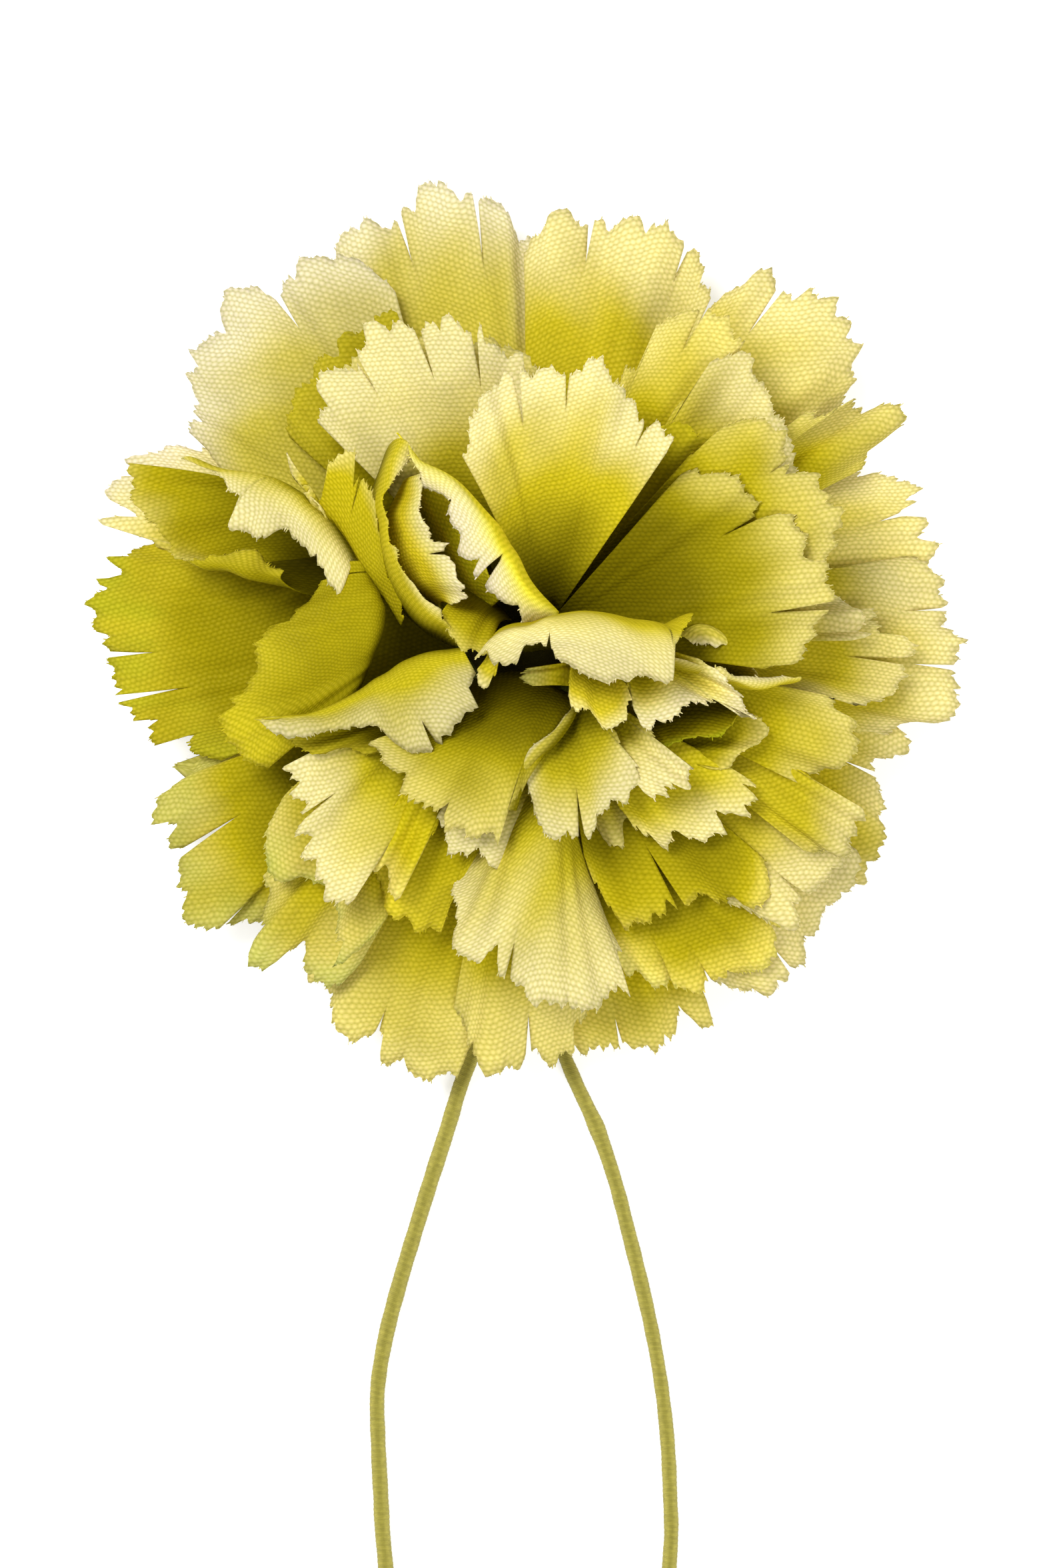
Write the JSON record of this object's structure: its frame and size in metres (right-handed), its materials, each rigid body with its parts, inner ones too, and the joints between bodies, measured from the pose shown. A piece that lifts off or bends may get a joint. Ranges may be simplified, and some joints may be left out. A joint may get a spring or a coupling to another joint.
{
  "type": "boutonniere",
  "caption": "Fabric carnation head with pinked, slit petals in yellow-green, on a round backing with a loop of thin covered cord.",
  "frame": {"origin": "centre of the backing disc's underside, which lies on the surface", "axes": "+Z out of the flower's face, +Y away from the cord loop, +X to the right"},
  "size_m": [0.0674, 0.1228, 0.0288],
  "materials": {
    "outer_cloth": "pale yellow-green plain-weave cloth",
    "middle_cloth": "yellow-green plain-weave cloth",
    "inner_cloth": "deep yellow-green plain-weave cloth",
    "felt": "olive felt",
    "glue": "set hot-melt glue",
    "calyx_cloth": "dark green cloth",
    "cord_yarn": "olive yarn wound round a thin cord"
  },
  "bodies": {
    "root": {"backing_disc": "felt", "glue_pad": "glue", "calyx_cup": "calyx_cloth", "flower_core": "calyx_cloth", "cord_loop": "cord_yarn", "outer_petal_01": "outer_cloth", "outer_petal_02": "outer_cloth", "outer_petal_03": "outer_cloth", "outer_petal_04": "outer_cloth", "outer_petal_05": "outer_cloth", "outer_petal_06": "outer_cloth", "outer_petal_07": "outer_cloth", "outer_petal_08": "outer_cloth", "outer_petal_09": "outer_cloth", "outer_petal_10": "outer_cloth", "outer_petal_11": "outer_cloth", "outer_petal_12": "outer_cloth", "outer_petal_13": "outer_cloth", "outer_petal_14": "outer_cloth", "outer_petal_15": "outer_cloth", "outer_petal_16": "outer_cloth", "middle_petal_01": "middle_cloth", "middle_petal_02": "middle_cloth", "middle_petal_03": "middle_cloth", "middle_petal_04": "middle_cloth", "middle_petal_05": "middle_cloth", "middle_petal_06": "middle_cloth", "middle_petal_07": "middle_cloth", "middle_petal_08": "middle_cloth", "middle_petal_09": "middle_cloth", "middle_petal_10": "middle_cloth", "middle_petal_11": "middle_cloth", "middle_petal_12": "middle_cloth", "middle_petal_13": "middle_cloth", "middle_petal_14": "middle_cloth", "middle_petal_15": "middle_cloth", "middle_petal_16": "middle_cloth", "inner_petal_01": "inner_cloth", "inner_petal_02": "inner_cloth", "inner_petal_03": "inner_cloth", "inner_petal_04": "inner_cloth", "inner_petal_05": "inner_cloth", "inner_petal_06": "inner_cloth", "inner_petal_07": "inner_cloth", "inner_petal_08": "inner_cloth", "inner_petal_09": "inner_cloth", "inner_petal_10": "inner_cloth", "inner_petal_11": "inner_cloth", "inner_petal_12": "inner_cloth", "inner_petal_13": "inner_cloth", "inner_petal_14": "inner_cloth", "inner_petal_15": "inner_cloth", "heart_petal_01": "inner_cloth", "heart_petal_02": "inner_cloth", "heart_petal_03": "inner_cloth", "heart_petal_04": "inner_cloth", "heart_petal_05": "inner_cloth", "heart_petal_06": "inner_cloth", "heart_petal_07": "inner_cloth"}
  },
  "joints": []
}
